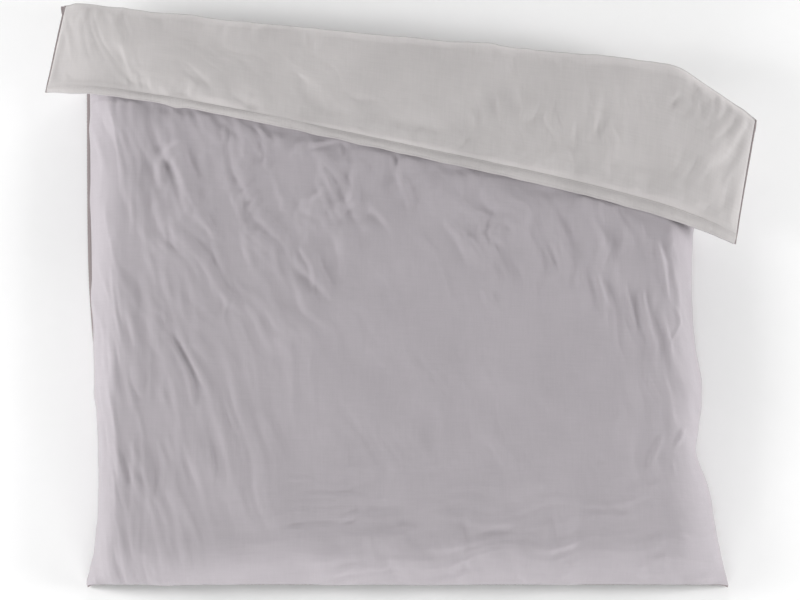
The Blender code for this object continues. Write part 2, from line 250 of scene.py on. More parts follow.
def flap_base(u, w):
    """The flap's underside: u across the cloth and w from the fold to the hem."""
    x = fold_reach(u)
    fold = np.stack([x, fold_y(x), np.zeros_like(x)], -1)
    down = w / FLAP_DEPTH
    place = mix(fold, hem_place(u), down[..., None])
    sag = np.where(u > 0, SAG_RIGHT, SAG_LEFT)
    past = np.clip(np.abs(place[..., 0]) - SAG_START, 0, 1) / (HALF_WIDTH - SAG_START)
    place[..., 2] += LAYER_GAP - sag * past**2 * ease(down)
    return place


def rise(distance):
    """How full the padding is at distance from a sewn edge."""
    return np.sin(math.pi / 2 * np.clip(distance / EDGE_TAPER, 0, 1))


def rounded_tip(r, thick):
    """thick, rounded off where r, the distance from the fold, is short."""
    inner = np.clip(thick - r, 0, None)
    return np.maximum(np.minimum(thick, TIP_THICK), np.sqrt(np.clip(thick**2 - inner**2, 0, None)))


def main_thick(u, v):
    full = mix(EDGE_THICK, MAIN_THICK, rise(HALF_WIDTH - np.abs(u)) * rise(v))
    return rounded_tip(MAIN_LENGTH - v, full)


# The flap's height by distance from the hem's seam: plain padding, or a rolled ridge with a valley behind it
PLAIN_PROFILE = ((0, 0.0095), (0.02, 0.0160), (0.05, 0.0235), (0.10, 0.0310), (0.19, 0.0370))
ROLLED_PROFILE = (
    (0, 0.0095), (0.012, 0.0215), (0.028, 0.0255), (0.062, 0.0225), (0.12, 0.0320), (0.19, 0.0370),
)


LEAST_SWELL, WIDE_SWELL, NARROW_SWELL, CORNER_SWELL = 0.0022, 0.008, 0.003, 0.006
SWELL_REACH = 0.11  # how far from the fold its swellings are felt


def fold_bulge(u):
    """How far the cloth swells past the fold's line."""
    x = fold_reach(u)
    swell = WIDE_SWELL * np.clip(noise(u / 0.17, u * 0, 501) + 0.1, 0, 1)
    swell = swell + NARROW_SWELL * np.clip(noise(u / 0.05, u * 0, 502), 0, 1)
    corner = CORNER_SWELL * spot(x, x * 0, (-0.79, 0), 0.09, 1)
    return (LEAST_SWELL + swell + corner) * ease((HALF_WIDTH - np.abs(u)) / 0.04)


def swollen(points, u, from_fold):
    """Points that follow the fold's swellings near it."""
    x = fold_reach(u)
    away = np.stack([np.full_like(x, math.sin(FOLD_TILT)), np.full_like(x, math.cos(FOLD_TILT)), x * 0], -1)
    return points + away * (fold_bulge(u) * ease(1 - from_fold / SWELL_REACH))[..., None]


def flap_thick(u, w):
    off_hem = np.clip(FILL_END - w, 0, None)
    off_hem = np.minimum(off_hem * (1 + 0.22 * noise(u / 0.22, u * 0, 111)), 0.19)
    rolled = ease((u + 0.40) / 0.35) * np.clip(0.85 + 0.5 * noise(u / 0.17, u * 0, 112), 0, 1.2)
    padded = mix(smooth_through(PLAIN_PROFILE, off_hem), smooth_through(ROLLED_PROFILE, off_hem), rolled)
    full = EDGE_THICK + (padded - EDGE_THICK) * rise(HALF_WIDTH - np.abs(u))
    return rounded_tip(w, full)


def normals_of(points):
    """A grid's normals, facing up."""
    normal = np.cross(np.gradient(points, axis=0), np.gradient(points, axis=1))
    normal /= np.linalg.norm(normal, axis=-1, keepdims=True) + 1e-12
    return normal * np.where(normal[..., 2:] < 0, -1, 1)


RIM = 0.012  # over this distance a layer's face and reverse curl in to its seams


def rim_curl(distance, thick):
    """How far a cloth curls in at distance from its seam, of half the layer's thickness."""
    inner = 1 - np.clip(distance / RIM, 0, 1)
    return thick / 2 * 0.85 * (1 - np.sqrt(1 - 0.98 * inner**2))


# ---- meshes


def add_mesh(name, points, faces, look, cloth_place=None):
    mesh = bpy.data.meshes.new(name)
    mesh.from_pydata((points.reshape(-1, 3) + ORIGIN).tolist(), [], faces)
    mesh.polygons.foreach_set("use_smooth", [True] * len(mesh.polygons))
    if cloth_place is not None:
        place = mesh.attributes.new("cloth_place", "FLOAT_VECTOR", "POINT")
        place.data.foreach_set("vector", cloth_place.astype(np.float32).ravel())
    mesh.materials.append(look)
    mesh.update()
    ob = bpy.data.objects.new(name, mesh)
    bpy.context.scene.collection.objects.link(ob)
    return ob


def grid_faces(rows, columns, first=0, turned=False):
    index = first + np.arange(rows * columns).reshape(rows, columns)
    quads = np.stack([index[:-1, :-1], index[1:, :-1], index[1:, 1:], index[:-1, 1:]], -1).reshape(-1, 4)
    return (quads[:, ::-1] if turned else quads).tolist()


def add_sheet(name, points, look, places, turned=False):
    """A single layer of cloth through a grid of points. places are the grid's u and v."""
    flat = np.stack([*places, np.zeros_like(places[0])], -1)
    return add_mesh(name, points, grid_faces(*points.shape[:2], turned=turned), look, flat)


def add_pillow(name, top, bottom, look, places):
    """A closed mesh from two grids that are stitched along their borders."""
    rows, columns = top.shape[:2]
    count = rows * columns
    faces = grid_faces(rows, columns) + grid_faces(rows, columns, count, True)
    index = np.arange(count).reshape(rows, columns)
    border = [*index[:, 0], *index[-1, 1:], *index[-2::-1, -1], *index[0, -2:0:-1]]
    faces += [(b, a, a + count, b + count) for a, b in zip(border, border[1:] + border[:1])]
    faces = [tuple(int(i) for i in face) for face in faces]
    flat = np.stack([*places, np.zeros_like(places[0])], -1)
    both = np.concatenate([flat.reshape(-1, 3)] * 2)
    return add_mesh(name, np.concatenate([top.reshape(-1, 3), bottom.reshape(-1, 3)]), faces, look, both)


def add_tube(name, rings, look, lengths):
    """A closed mesh through rings of points. lengths says how far along each ring is."""
    count, sides = rings.shape[:2]
    faces = []
    for i in range(count - 1):
        for k in range(sides):
            a, b = i * sides + k, i * sides + (k + 1) % sides
            faces.append((a, b, b + sides, a + sides))
    faces.append(tuple(range(sides))[::-1])
    faces.append(tuple((count - 1) * sides + k for k in range(sides)))
    place = np.zeros((count, sides, 3))
    place[..., 0] = lengths[:, None]
    place[..., 1] = np.arange(sides)[None] * 0.002
    return add_mesh(name, rings, faces, look, place)


def spread(low, high, step, borders=(0.001, 0.003, 0.006, 0.010, 0.015)):
    """Grid lines from low to high, close together at both ends."""
    inner = np.linspace(low + 0.02, high - 0.02, max(2, round((high - low - 0.04) / step)))
    ends = np.array((0, *borders))
    return np.concatenate([low + ends, inner, (high - ends)[::-1]])


# ---- materials


class Nodes:
    """Short ways to build a material's nodes."""

    def __init__(self, name):
        self.material = bpy.data.materials.new(name)
        self.material.use_nodes = True
        self.tree = self.material.node_tree
        self.shader = self.tree.nodes["Principled BSDF"]

    def add(self, kind, **inputs):
        node = self.tree.nodes.new("ShaderNode" + kind)
        for name, value in inputs.items():
            self.put(node, name.replace("_", " "), value)
        return node

    def put(self, node, name, value):
        socket = node.inputs[int(name) if name.isdigit() else name]
        if isinstance(value, bpy.types.NodeSocket):
            self.tree.links.new(value, socket)
        else:
            socket.default_value = value

    def maths(self, operation, *values):
        node = self.tree.nodes.new("ShaderNodeMath")
        node.operation = operation
        for k, value in enumerate(values):
            self.put(node, str(k), value)
        return node.outputs[0]

    def noise(self, place, scale, detail=2.0, stretch=(1, 1, 1)):
        mapped = self.add("Mapping", Vector=place, Scale=stretch)
        made = self.add("TexNoise", Vector=mapped.outputs[0], Scale=scale, Detail=detail)
        return made.outputs[0]

    def spread(self, value, low, high):
        """value from 0 to 1 becomes low to high."""
        return self.maths("MULTIPLY_ADD", value, high - low, low)


YARN_SCALE, PAINTED_SHADE_PATCH_SCALE, LINT_SCALE = 260, 5.0, 900  # noise to a metre of cloth


def cotton(name, colour, thread, slub=0.05, painted_shade_patch=0.09, bump=0.35, rough=0.86, sheen=0.15):
    """Plain woven cotton: two sets of threads thread apart, uneven yarn, random soft patches of painted
    shade, and lint.
    """
    n = Nodes(name)
    attribute = n.add("Attribute")
    attribute.attribute_name = "cloth_place"
    place = attribute.outputs["Vector"]
    split = n.add("SeparateXYZ", Vector=place)
    turns = 2 * math.pi / thread
    warp = n.maths("SINE", n.maths("MULTIPLY", split.outputs[0], turns))
    weft = n.maths("SINE", n.maths("MULTIPLY", split.outputs[1], turns))
    weave = n.maths("MULTIPLY", warp, weft)
    along = n.noise(place, YARN_SCALE, 3, (0.05, 1, 1))
    across = n.noise(place, YARN_SCALE, 3, (1, 0.05, 1))
    yarn = n.maths("ADD", along, across)
    large = n.noise(place, PAINTED_SHADE_PATCH_SCALE, 4)
    lint = n.noise(place, LINT_SCALE, 2)
    shade = n.maths("MULTIPLY_ADD", n.maths("SUBTRACT", yarn, 1.0), slub * 2, 1.0)
    # soft random patches of painted shade, from large noise, for mottled shading
    shade = n.maths("MULTIPLY_ADD", n.maths("SUBTRACT", large, 0.5), painted_shade_patch * 2, shade)
    shade = n.maths("MULTIPLY_ADD", weave, 0.03, shade)
    shade = n.maths("MULTIPLY_ADD", n.maths("SUBTRACT", lint, 0.5), 0.06, shade)
    scaled = n.add("VectorMath")
    scaled.operation = "SCALE"
    n.put(scaled, "0", colour)
    n.put(scaled, "Scale", shade)
    n.tree.links.new(scaled.outputs[0], n.shader.inputs["Base Color"])
    n.put(n.shader, "Roughness", n.spread(yarn, rough - 0.08, rough + 0.02))
    n.shader.inputs["Sheen Weight"].default_value = sheen
    n.shader.inputs["Sheen Roughness"].default_value = 0.4
    n.shader.inputs["Specular IOR Level"].default_value = 0.25
    height = n.maths("MULTIPLY_ADD", weave, 0.5, n.maths("MULTIPLY", yarn, 0.8))
    height = n.maths("MULTIPLY_ADD", lint, 0.3, height)
    raised = n.add("Bump", Height=height, Strength=bump, Distance=thread * 0.4)
    n.tree.links.new(raised.outputs[0], n.shader.inputs["Normal"])
    return n.material


def simple_nodes(name, colour, rough, metallic=0.0, scale=400.0, change=0.08):
    """A smooth or fibrous material with fine variation in its colour, gloss and surface."""
    n = Nodes(name)
    place = n.add("TexCoord").outputs["Object"]
    grain = n.noise(place, scale, 3)
    scaled = n.add("VectorMath")
    scaled.operation = "SCALE"
    n.put(scaled, "0", colour)
    n.put(scaled, "Scale", n.spread(grain, 1 - change, 1 + change))
    n.tree.links.new(scaled.outputs[0], n.shader.inputs["Base Color"])
    n.put(n.shader, "Roughness", n.spread(grain, rough - 0.1, rough + 0.1))
    n.shader.inputs["Metallic"].default_value = metallic
    raised = n.add("Bump", Height=grain, Strength=0.2, Distance=0.0003)
    n.tree.links.new(raised.outputs[0], n.shader.inputs["Normal"])
    return n.material


COVER_THREAD = 0.0011
FACE_CLOTH = cotton("face_cotton", (0.43, 0.40, 0.425), COVER_THREAD)
REVERSE_CLOTH = cotton("reverse_cotton", (0.530, 0.506, 0.503), COVER_THREAD, painted_shade_patch=0.16)
# The seams are real, but their cloth is much darker than the face cloth: painted shade of the duvet's shaded
# side and foot edges.
SEAM_CLOTH_PAINTED_SHADE = cotton("seam_cotton_painted_shade", (0.27, 0.235, 0.235), COVER_THREAD, slub=0.1, painted_shade_patch=0.1)
THREAD = cotton("sewing_thread", (0.40, 0.37, 0.38), 0.0006, slub=0.1, sheen=0.3)
TICKING = cotton("ticking_cotton", (0.78, 0.78, 0.76), 0.0009)
TAPE = simple_nodes("tie_tape", (0.72, 0.70, 0.68), 0.85)
STUD = simple_nodes("press_stud", (0.66, 0.66, 0.64), 0.35, metallic=0.9, scale=1500, change=0.04)


# ---- the main layer

FINE, COARSE = 0.0062, 0.011  # grid steps of the face cloth and of the hidden reverse cloth
MOST_DIP = 0.0065  # so that the cover never sinks into the insert


def hem_distance(x, y):
    """How far a place is from the flap's hem, towards the foot."""
    u = np.clip((x - HEM_LEFT[0]) / (HEM_RIGHT[0] - HEM_LEFT[0]), 0, 1) * 2 - 1
    return hem_place(u)[..., 1] - y


# The strong folds: places along each, its width and height, and its dip to the left (below 0, to the right)
STRONG_FOLDS = (
    (((-0.575, 1.250), (-0.634, 1.227), (-0.662, 1.173), (-0.659, 1.110)), 0.013, 0.0040, 0.15),
    (((-0.585, 1.115), (-0.545, 1.040), (-0.494, 0.975)), 0.010, 0.0030, 0.2),
    (((-0.670, 0.750), (-0.580, 0.602), (-0.560, 0.490)), 0.009, 0.0032, 0.6),
    (((-0.800, 0.540), (-0.775, 0.400), (-0.753, 0.280)), 0.010, 0.0040, 0.4),
    (((-0.739, 0.555), (-0.696, 0.405)), 0.008, 0.0032, 0.6),
    (((-0.523, 0.420), (-0.500, 0.295)), 0.007, 0.0026, 0.6),
    (((-0.455, 0.440), (-0.436, 0.380)), 0.006, 0.0022, 0.6),
    (((-0.480, 1.295), (-0.478, 1.250)), 0.006, 0.0030, 0.8),
    (((-0.398, 1.250), (-0.372, 1.205)), 0.006, 0.0028, 0.8),
    (((-0.154, 1.250), (-0.147, 1.215)), 0.006, 0.0026, 0.8),
    (((-0.008, 1.218), (0.001, 1.180)), 0.006, 0.0024, 0.8),
    (((-0.350, 1.205), (-0.410, 1.148)), 0.009, 0.0034, -0.6),
    (((-0.360, 1.125), (-0.425, 1.035)), 0.009, 0.0030, -0.6),
    (((-0.216, 1.200), (-0.170, 1.115), (-0.131, 1.030)), 0.010, 0.0036, 0.6),
    (((-0.238, 1.240), (-0.155, 1.262)), 0.008, 0.0030, -0.7),
    (((-0.278, 0.965), (-0.227, 0.895), (-0.233, 0.795)), 0.008, 0.0026, -0.5),
    (((-0.463, 0.812), (-0.477, 0.753), (-0.457, 0.690)), 0.006, 0.0024, 0.6),
    (((0.010, 1.165), (0.045, 1.080), (0.040, 0.990)), 0.010, 0.0030, 0.5),
    (((0.130, 1.130), (0.215, 1.055), (0.330, 1.020)), 0.011, 0.0026, 0.5),
    (((0.300, 0.930), (0.322, 0.870), (0.330, 0.810)), 0.008, 0.0022, 0.5),
    (((0.410, 0.985), (0.445, 0.905), (0.450, 0.850)), 0.009, 0.0020, 0.5),
    (((0.560, 0.900), (0.585, 0.815), (0.595, 0.730)), 0.009, 0.0028, 0.6),
    (((0.135, 0.905), (0.168, 0.795)), 0.009, 0.0024, 0.5),
    (((0.235, 0.845), (0.300, 0.770)), 0.008, 0.0018, 0.5),
    (((0.645, 0.885), (0.660, 0.790), (0.679, 0.705)), 0.009, 0.0034, 0.6),
    (((0.688, 0.870), (0.705, 0.775), (0.724, 0.688)), 0.009, 0.0032, 0.6),
    (((0.744, 0.985), (0.760, 0.880), (0.781, 0.785)), 0.009, 0.0036, 0.6),
    (((0.781, 0.800), (0.807, 0.744), (0.781, 0.680)), 0.007, 0.0028, -0.6),
    (((0.752, 0.425), (0.713, 0.325)), 0.009, 0.0028, -0.5),
    (((0.820, 0.445), (0.786, 0.380)), 0.008, 0.0028, -0.5),
    (((0.781, 0.352), (0.789, 0.298)), 0.007, 0.0024, 0.5),
    (((-0.290, 0.250), (-0.190, 0.253), (-0.075, 0.249)), 0.006, 0.0016, 0.6),
    (((-0.085, 0.207), (-0.153, 0.180)), 0.007, 0.0018, 0.6),
    (((-0.300, 0.301), (-0.230, 0.300)), 0.006, 0.0012, 0.6),
    (((-0.300, 0.160), (-0.240, 0.158)), 0.006, 0.0012, 0.6),
)


def main_wrinkles(points, u, v):
    """Height of the folds in the face cloth over the main layer."""
    x, y = points[..., 0], points[..., 1]
    w = Wrinkles(x, y)
    # each: seed, where, direction, pitch, length, height
    left = ease((-0.10 - x) / 0.35) * ease((y - 0.05) / 0.3)
    w.gathers(11, left, 106, 0.046, 0.26, 0.0036)
    w.gathers(21, spot(x, y, (-0.42, 0.98), 0.32, 0.32), 124, 0.044, 0.16, 0.0050)
    w.gathers(26, spot(x, y, (-0.30, 1.12), 0.34, 0.14), 62, 0.048, 0.12, 0.0044)
    w.gathers(31, ease((-0.58 - x) / 0.15), 93, 0.032, 0.34, 0.0030)
    w.gathers(36, ease((-0.45 - x) / 0.2) * ease((0.9 - y) / 0.4), 102, 0.030, 0.16, 0.0022)
    w.gathers(41, spot(x, y, (0.72, 0.80), 0.15, 0.32), 102, 0.036, 0.16, 0.0044)
    w.gathers(51, spot(x, y, (0.05, 1.02), 0.42, 0.20), 118, 0.055, 0.16, 0.0062)
    w.gathers(56, spot(x, y, (0.45, 0.95), 0.40, 0.14), 100, 0.046, 0.12, 0.0050)
    w.gathers(61, ease((0.45 - y) / 0.3) * ease((x + 0.6) / 0.5), 6, 0.040, 0.20, 0.0024)
    w.gathers(66, ease((x + 0.3) / 0.4) * ease((0.9 - y) / 0.4), 112, 0.060, 0.20, 0.0028)
    w.height += 0.0100 * noise(x / 0.24, y / 0.28, 71) + 0.0065 * noise(x / 0.10, y / 0.13, 72)
    for line, width, height, dip in STRONG_FOLDS:
        w.ridge(line, width, height, dip)
    w.crease(((0.216, 0.680), (0.206, 0.655), (0.196, 0.634)), 0.003, 0.0016)
    w.height += 0.004 * spot(x, y, (0.826, 0.910), 0.022, 0.016)
    w.height += 0.003 * spot(x, y, (0.784, 0.960), 0.014, 0.010)
    w.height += 0.003 * spot(x, y, (0.784, 0.856), 0.012, 0.012)
    # slow waves along the hanging sides
    share = np.clip((np.abs(u) - TOP_HALF) / (HALF_WIDTH - TOP_HALF), 0, 1)
    side_wave = noise(v / 0.16, 3 * np.sign(u) + share * 0.7, 81)
    side_wave = side_wave + 0.5 * noise(v / 0.06, share + np.sign(u), 82)
    height = w.height * (1 - 0.5 * share) + 0.006 * share * side_wave
    height = np.where(height < 0, MOST_DIP * np.tanh(height / MOST_DIP), height)
    # under the flap and at the seams the cloth lies flat
    shown = ease(hem_distance(x, y) / 0.02 + 0.4)
    to_rim = np.minimum(HALF_WIDTH - np.abs(u), v)
    height = height * shown - 0.0014 * (1 - shown) * np.abs(noise(x / 0.10, y / 0.14, 91))
    return height * ease(to_rim / 0.05 + 0.25)


SIM_STEP, SIM_FRAMES = 0.012, 16
SIM_START = 0.5  # the share of the modelled folds that the simulation starts from
SIM_GROWTH = 0.020  # how much longer the loosest cloth gets
SIM_GAIN, SIM_CAP = 1.5, 0.005  # of the crumpling that is kept
WEIGHT_LEVELS = 20


def crumple(places):
    """How far the face cloth buckles at places, from a simulation in which it is a little too large."""
    us = np.linspace(-HALF_WIDTH, HALF_WIDTH, round(2 * HALF_WIDTH / SIM_STEP) + 1)
    vs = np.linspace(0, MAIN_LENGTH, round(MAIN_LENGTH / SIM_STEP) + 1)
    u, v = np.meshgrid(us, vs, indexing="ij")
    base = main_base(u, v)
    normal = normals_of(base)
    start = base + normal * (SIM_START * main_wrinkles(base, u, v))[..., None]
    ob = add_sheet("crumple_trial", start, FACE_CLOTH, (u, v))
    x, y = base[..., 0], base[..., 1]
    rim = np.minimum(HALF_WIDTH - np.abs(u), v) / 0.03
    held = np.clip(1 - np.minimum(rim, (hem_distance(x, y) + 0.05) / 0.03), 0, 1)
    loose = 0.18 + 0.82 * ease((0.1 - x) / 0.5) + 0.5 * spot(x, y, (0.72, 0.80), 0.2, 0.3)
    loose = loose + 0.3 * spot(x, y, (0.2, 1.05), 0.5, 0.15)
    for name, weights in (("held", held), ("loose", np.clip(loose, 0, 1))):
        group = ob.vertex_groups.new(name=name)
        levels = np.round(weights.ravel() * WEIGHT_LEVELS).astype(int)
        for level in range(1, WEIGHT_LEVELS + 1):
            group.add(np.nonzero(levels == level)[0].tolist(), level / WEIGHT_LEVELS, "REPLACE")
    cloth = ob.modifiers.new("Cloth", "CLOTH").settings
    cloth.quality = 5
    cloth.mass = 0.01
    cloth.tension_stiffness = cloth.compression_stiffness = 30
    cloth.shear_stiffness = 7.5
    cloth.bending_stiffness = 3.0
    cloth.tension_damping = cloth.compression_damping = cloth.shear_damping = cloth.air_damping = 1
    cloth.vertex_group_mass = "held"
    cloth.vertex_group_shrink = "loose"
    cloth.shrink_min, cloth.shrink_max = 0.0, -SIM_GROWTH
    cloth.effector_weights.gravity = 0
    cloth.use_pressure = True
    cloth.uniform_pressure_force = 0.01
    for number in range(1, SIM_FRAMES + 1):
        bpy.context.scene.frame_set(number)
    settled = ob.evaluated_get(bpy.context.evaluated_depsgraph_get()).to_mesh()
    points = np.zeros(len(settled.vertices) * 3, np.float32)
    settled.vertices.foreach_get("co", points)
    bpy.context.scene.frame_set(1)
    bpy.data.objects.remove(ob)
    buckled = ((points.reshape(start.shape) - ORIGIN - start) * normal).sum(-1)
    buckled = SIM_CAP * np.tanh(buckled * SIM_GAIN / SIM_CAP) * ease(rim / 3)
    for axis in (0, 1):
        near = np.roll(buckled, 1, axis) + np.roll(buckled, -1, axis)
        buckled = buckled * 0.6 + near * 0.2
    return finer(finer(buckled, us, places[0], 0), vs, places[1], 1)


def finer(values, lines, at, axis):
    """values on a grid's evenly spaced lines, read at finer places along axis by a cubic curve."""
    values = np.moveaxis(values, axis, 0)
    place = np.clip((at - lines[0]) / (lines[1] - lines[0]), 0, len(lines) - 1.0001)
    i = place.astype(int)
    t = (place - i)[:, None]
    a, b, c, d = (values[np.clip(i + k, 0, len(lines) - 1)] for k in (-1, 0, 1, 2))
    made = b + t / 2 * (c - a + t * (2 * a - 5 * b + 4 * c - d + t * (3 * (b - c) + d - a)))
    return np.moveaxis(made, 0, axis)


def build_main():
    """The cover over and under the main layer."""
    us, vs = spread(-HALF_WIDTH, HALF_WIDTH, FINE), spread(0, MAIN_LENGTH, FINE)
    u, v = np.meshgrid(us, vs, indexing="ij")
    base = main_base(u, v)
    normal = normals_of(base)
    thick = main_thick(u, v)
    lift = main_wrinkles(base, u, v)
    shown = ease(hem_distance(base[..., 0], base[..., 1]) / 0.02 + 0.4)
    lift = lift + crumple((us, vs)) * shown
    lift = np.where(lift < 0, MOST_DIP * np.tanh(lift / MOST_DIP), lift)
    lift = lift - rim_curl(np.minimum(HALF_WIDTH - np.abs(u), v), thick)
    top = base + normal * lift[..., None]
    face = add_sheet("cover_face_main_cloth", top, FACE_CLOTH, (u, v))
    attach(face, "duvet_main")
    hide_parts("cover_face_main")

    us, vs = spread(-HALF_WIDTH, HALF_WIDTH, COARSE), spread(0, MAIN_LENGTH, COARSE)
    tip = MAIN_LENGTH - 0.05 * (1 - np.cos(np.linspace(0, math.pi / 2, 14)))
    vs = np.unique(np.round(np.concatenate([vs[vs < tip.min()], tip]), 6))
    u, v = np.meshgrid(us, vs, indexing="ij")
    base = main_base(u, v)
    normal = normals_of(base)
    thick = main_thick(u, v)
    curl = rim_curl(np.minimum(HALF_WIDTH - np.abs(u), v), thick)
    flat = ease((v - 0.1) / 0.2) * ease((TOP_HALF - np.abs(u)) / 0.1)
    folds = 0.0016 * np.abs(noise(u / 0.16, v / 0.3, 101)) * flat
    hang = 0.004 * noise(v / 0.13, np.sign(u) * 3, 102) * (1 - flat)
    hang = hang * ease(np.minimum(HALF_WIDTH - np.abs(u), v) / 0.06)
    bottom = swollen(base - normal * (thick - curl - folds - hang)[..., None], u, MAIN_LENGTH - v)
    bottom[..., 2] = np.maximum(bottom[..., 2], 0.001 - ORIGIN[2])
    reverse = add_sheet("cover_reverse_main_cloth", bottom, REVERSE_CLOTH, (u, v), turned=True)
    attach(reverse, "duvet_main")
    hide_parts("cover_reverse_main")
    return face, reverse


# ---- the flap


def hem_wave(u):
    """How far the hem stands off the cloth below it."""
    wide = 0.5 + 0.5 * noise(u / 0.085, u * 0 + 0.5, 201)
    return 0.0030 * wide + 0.0012 * np.abs(noise(u / 0.03, u * 0, 202))


MOST_RISE = 0.011  # so that the folds stay near the CAD's size


def flap_wrinkles(points, u, w):
    """Height of the folds in the reverse cloth over the flap."""
    x, y = points[..., 0], points[..., 1]
    f = Wrinkles(x, y)
    f.height += 0.0130 * noise(x / 0.20, y / 0.17, 211) + 0.0060 * noise(x / 0.09, y / 0.08, 212)
    for centre in ((-0.60, 1.50), (-0.04, 1.46), (0.46, 1.36)):
        f.height += 0.012 * spot(x, y, centre, 0.13, 0.11)
    off_hem = FILL_END - w
    near_hem = ease(1 - off_hem / 0.11)
    f.gathers(221, near_hem, 75, 0.040, 0.10, 0.0030)
    f.gathers(231, spot(x, y, (-0.82, 1.52), 0.14, 0.14), 112, 0.034, 0.16, 0.0030)
    f.gathers(236, spot(x, y, (-0.35, 1.45), 0.34, 0.10), 140, 0.044, 0.12, 0.0044)
    f.gathers(241, spot(x, y, (0.90, 1.25), 0.12, 0.20), 60, 0.040, 0.16, 0.0044)
    f.gathers(246, spot(x, y, (0.45, 1.32), 0.30, 0.12), 98, 0.030, 0.10, 0.0044)
    f.gathers(256, spot(x, y, (0.90, 1.40), 0.14, 0.12), 62, 0.030, 0.08, 0.0046)
    f.gathers(251, ease(1 - w / 0.12), 96, 0.040, 0.10, 0.0034)
    f.crease(((-0.872, 1.630), (-0.850, 1.550), (-0.805, 1.460), (-0.770, 1.412)), 0.006, 0.0022)
    f.crease(((-0.860, 1.628), (-0.825, 1.530), (-0.765, 1.445), (-0.735, 1.415)), 0.006, 0.0018)
    f.crease(((-0.885, 1.600), (-0.870, 1.520), (-0.840, 1.440)), 0.006, 0.0016)
    f.crease(((0.543, 1.480), (0.545, 1.300), (0.542, 1.130)), 0.004, 0.0005)
    f.crease(((-0.330, 1.560), (-0.325, 1.440), (-0.328, 1.330)), 0.004, 0.0004)
    edge = np.minimum(np.minimum(HALF_WIDTH - np.abs(u), off_hem), w)
    most = np.where(f.height < 0, MOST_DIP, MOST_RISE)
    height = most * np.tanh(f.height / most) * ease(edge / 0.03)
    return height + hem_wave(u) * ease(1 - off_hem / 0.05)


def flap_lift(u, w):
    """How far the flap's underside rises off the main layer."""
    return hem_wave(u) * ease(1 - (FILL_END - w) / 0.05)


def flap_lines(step):
    tip = FLAP_THICK * (1 - np.cos(np.linspace(0, math.pi / 2, 12)))
    inner = np.linspace(FLAP_THICK + step, FILL_END - 0.02, round((FILL_END - 0.02 - FLAP_THICK) / step))
    ends = FILL_END - np.array((0.015, 0.011, 0.007, 0.004, 0.002, 0))
    return np.concatenate([tip, inner, ends])


def build_flap():
    """The cover over and under the flap."""
    us = spread(-HALF_WIDTH, HALF_WIDTH, 0.0055)
    u, w = np.meshgrid(us, flap_lines(0.005), indexing="ij")
    base = flap_base(u, w)
    normal = normals_of(base)
    thick = flap_thick(u, w)
    curl = rim_curl(HALF_WIDTH - np.abs(u), thick)
    top = swollen(base + normal * (thick - curl + flap_wrinkles(base, u, w))[..., None], u, w)
    reverse = add_sheet("cover_reverse_flap_cloth", top, REVERSE_CLOTH, (u, w))
    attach(reverse, "turned_back_flap")
    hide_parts("cover_reverse_flap")

    us = spread(-HALF_WIDTH, HALF_WIDTH, 0.009)
    u, w = np.meshgrid(us, flap_lines(0.009), indexing="ij")
    base = flap_base(u, w)
    normal = normals_of(base)
    curl = rim_curl(HALF_WIDTH - np.abs(u), flap_thick(u, w))
    dents = 0.0014 * np.abs(noise(base[..., 0] / 0.10, base[..., 1] / 0.14, 261))
    dents = dents * ease((HALF_WIDTH - np.abs(u)) / 0.05)
    inside = base + normal * (curl + flap_lift(u, w) + dents)[..., None]
    face = add_sheet("cover_face_flap_cloth", inside, FACE_CLOTH, (u, w), turned=True)
    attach(face, "turned_back_flap")
    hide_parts("cover_face_flap")
    return reverse, face


HEM_CLOTH = 0.0024  # thickness of each of the hem's two cloths
HEM_TOP = ((0, 0.0112), (0.006, 0.0112), (0.016, 0.0104), (0.023, 0.0082), (0.027, 0.0066))
STITCH_ROWS = (FILL_END + 0.0028, FLAP_DEPTH - 0.0050)
PUCKER = 0.0085  # from one pucker of the stitching to the next
HEM_LINES = (
    -0.0012, 0.0004, 0.0018, 0.0028, 0.0042, 0.008, 0.012,
    0.016, 0.0195, 0.022, 0.0238, 0.0255, 0.0264, 0.027,
)


def hem_height(u, w):
    """Top of the hem over the flap's underside, with the puckers that its stitches pull."""
    across = w - FILL_END
    pulled = sum(np.exp(-(((w - row) / 0.0022) ** 2)) for row in STITCH_ROWS)
    phase = u / PUCKER + 0.6 * noise(u / 0.05, u * 0, 301)
    between = np.sin(math.pi * np.clip((w - FILL_END) / HEM_WIDTH, 0, 1))
    ruck = 0.0004 * np.sin(2 * math.pi * phase + 60 * across) * between
    return smooth_through(HEM_TOP, np.clip(across, 0, HEM_WIDTH)) - 0.0006 * pulled + ruck + hem_wave(u)


def hem_edge(u):
    """How far the hem's edge wanders."""
    return 0.0022 * noise(u / 0.06, u * 0, 311) + 0.005 * spot(u, u * 0, (-0.62, 0), 0.02, 1)


